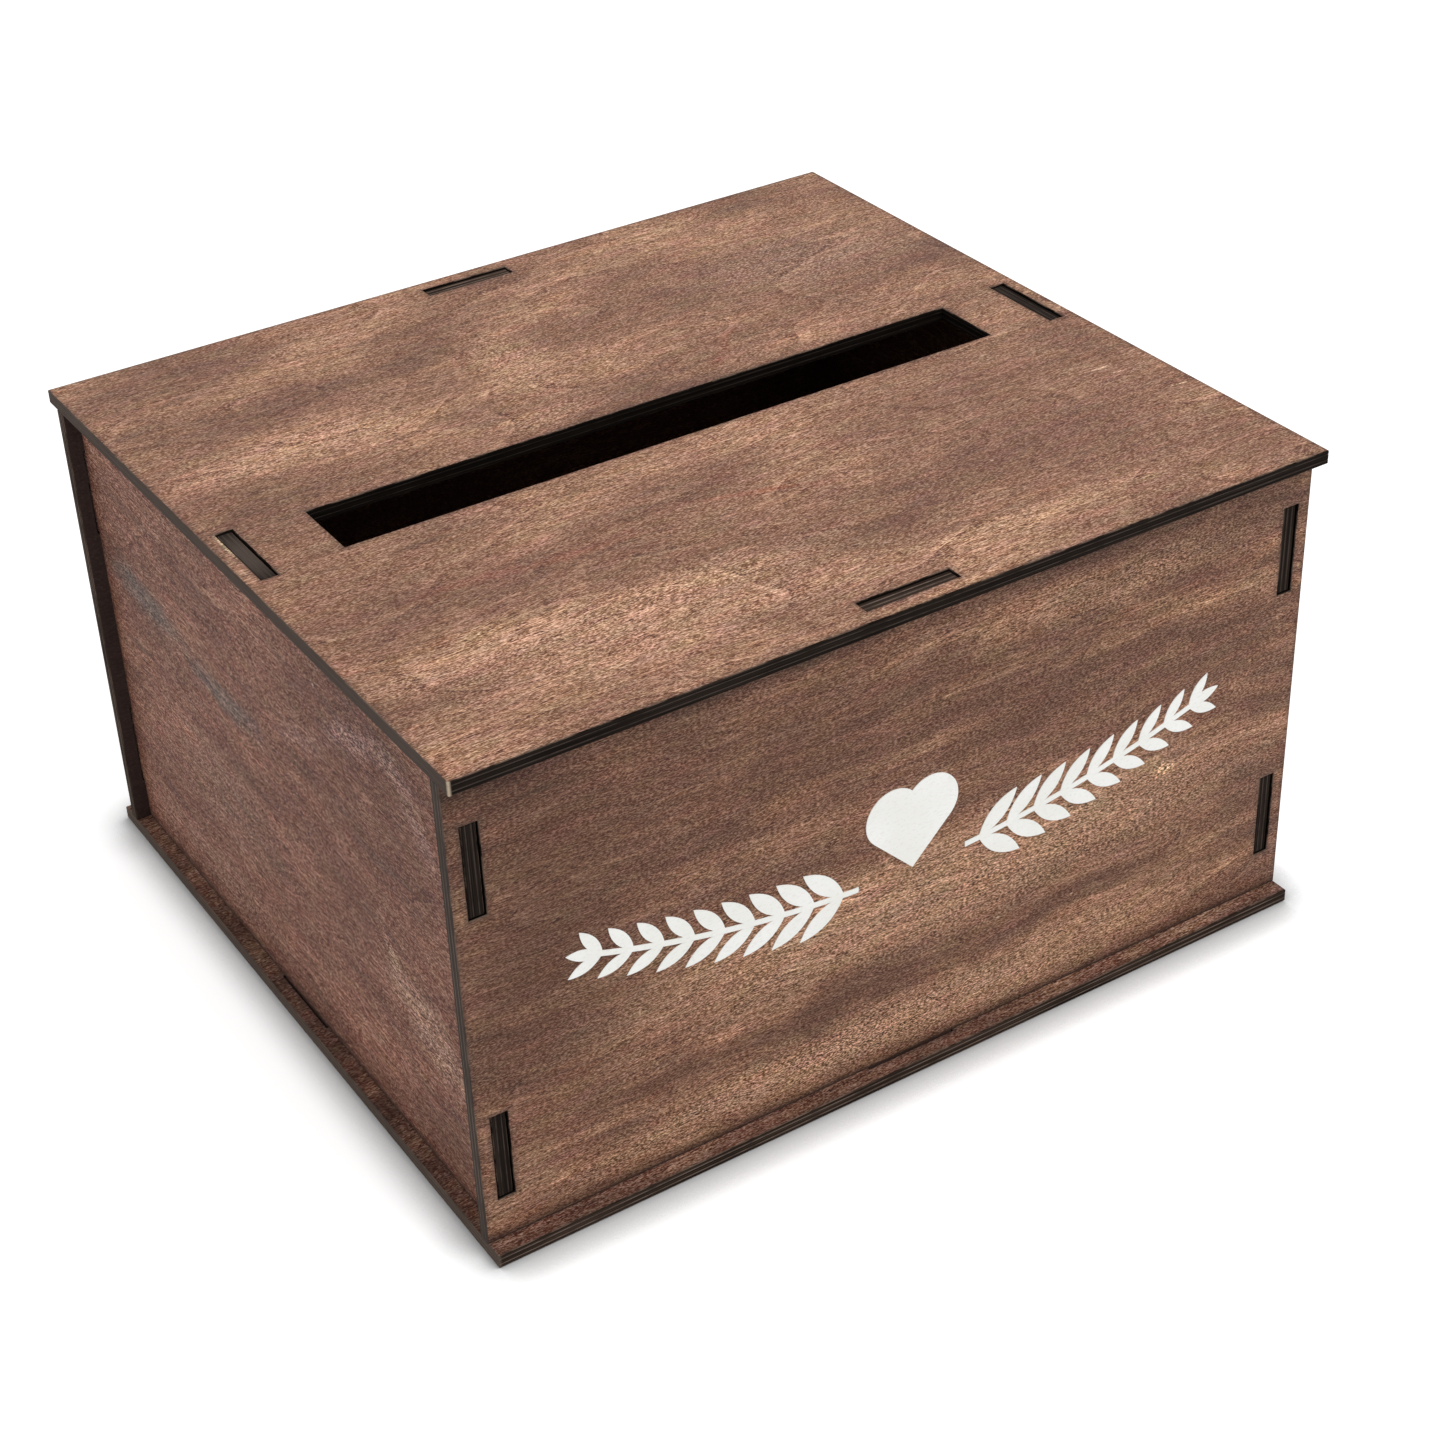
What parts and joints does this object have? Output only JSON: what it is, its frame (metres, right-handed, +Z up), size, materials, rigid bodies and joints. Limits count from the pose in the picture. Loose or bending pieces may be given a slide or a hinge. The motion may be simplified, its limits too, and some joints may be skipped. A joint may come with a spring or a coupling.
{
  "type": "wedding card box",
  "caption": "Flat-pack box of dark-stained plywood boards joined by tabs in slots, with a long card slot in its lift-off lid and a white leaf and heart ornament on the front.",
  "frame": {"origin": "middle of the underside of the base, on the surface that the box stands on", "axes": "+Z up, the front wall with the ornament faces -Y, +X to the right of someone who looks at the front"},
  "size_m": [0.2922, 0.2666, 0.1651],
  "materials": {
    "stained_plywood": "dark brown stain, matte, with charred laser-cut edges",
    "white_vinyl": "matte white film"
  },
  "bodies": {
    "base": {"base_panel": "stained_plywood"},
    "walls": {"front_panel": "stained_plywood", "back_panel": "stained_plywood", "left_panel": "stained_plywood", "right_panel": "stained_plywood", "front_ornament": "white_vinyl"},
    "lid": {"lid_panel": "stained_plywood"}
  },
  "joints": [
    {"name": "walls_lift", "type": "slide", "parent": "base", "child": "walls", "axis": [0, 0, 1], "range_m": [0, 0.06]},
    {"name": "lid_lift", "type": "slide", "parent": "walls", "child": "lid", "axis": [0, 0, 1], "range_m": [0, 0.12]}
  ]
}
